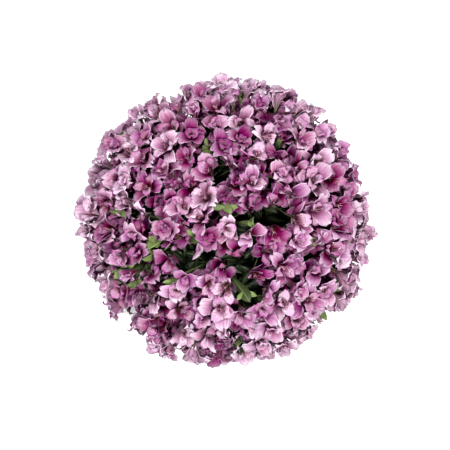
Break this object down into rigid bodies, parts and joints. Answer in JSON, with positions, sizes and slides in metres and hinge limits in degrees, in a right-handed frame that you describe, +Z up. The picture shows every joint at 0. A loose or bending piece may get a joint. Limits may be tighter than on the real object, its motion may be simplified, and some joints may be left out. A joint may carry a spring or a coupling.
{
  "type": "hand-tied alstroemeria bouquet",
  "caption": "Round hand-tied bouquet of mauve alstroemeria: a domed head of blooms on spiralled, leafy stems, bound with twine and standing on its level-cut stem ends.",
  "frame": {"origin": "the middle of the centre stem's level cut end, on the surface that the bouquet stands on", "axes": "+Z up the centre stem to the crown of the dome; +Y is the top of a view from straight above"},
  "size_m": [0.5885, 0.5808, 0.5629],
  "materials": {
    "petal": "soft matt petal, mauve",
    "foliage": "satin leaf green",
    "twine": "rough natural jute"
  },
  "bodies": {
    "root": {"umbel_01": "petal", "stem_01": "foliage", "umbel_02": "petal", "stem_02": "foliage", "umbel_03": "petal", "stem_03": "foliage", "umbel_04": "petal", "stem_04": "foliage", "umbel_05": "petal", "stem_05": "foliage", "umbel_06": "petal", "stem_06": "foliage", "umbel_07": "petal", "stem_07": "foliage", "umbel_08": "petal", "stem_08": "foliage", "umbel_09": "petal", "stem_09": "foliage", "umbel_10": "petal", "stem_10": "foliage", "umbel_11": "petal", "stem_11": "foliage", "umbel_12": "petal", "stem_12": "foliage", "umbel_13": "petal", "stem_13": "foliage", "umbel_14": "petal", "stem_14": "foliage", "umbel_15": "petal", "stem_15": "foliage", "umbel_16": "petal", "stem_16": "foliage", "umbel_17": "petal", "stem_17": "foliage", "umbel_18": "petal", "stem_18": "foliage", "umbel_19": "petal", "stem_19": "foliage", "umbel_20": "petal", "stem_20": "foliage", "umbel_21": "petal", "stem_21": "foliage", "umbel_22": "petal", "stem_22": "foliage", "umbel_23": "petal", "stem_23": "foliage", "umbel_24": "petal", "stem_24": "foliage", "umbel_25": "petal", "stem_25": "foliage", "umbel_26": "petal", "stem_26": "foliage", "umbel_27": "petal", "stem_27": "foliage", "tie": "twine"}
  },
  "joints": []
}
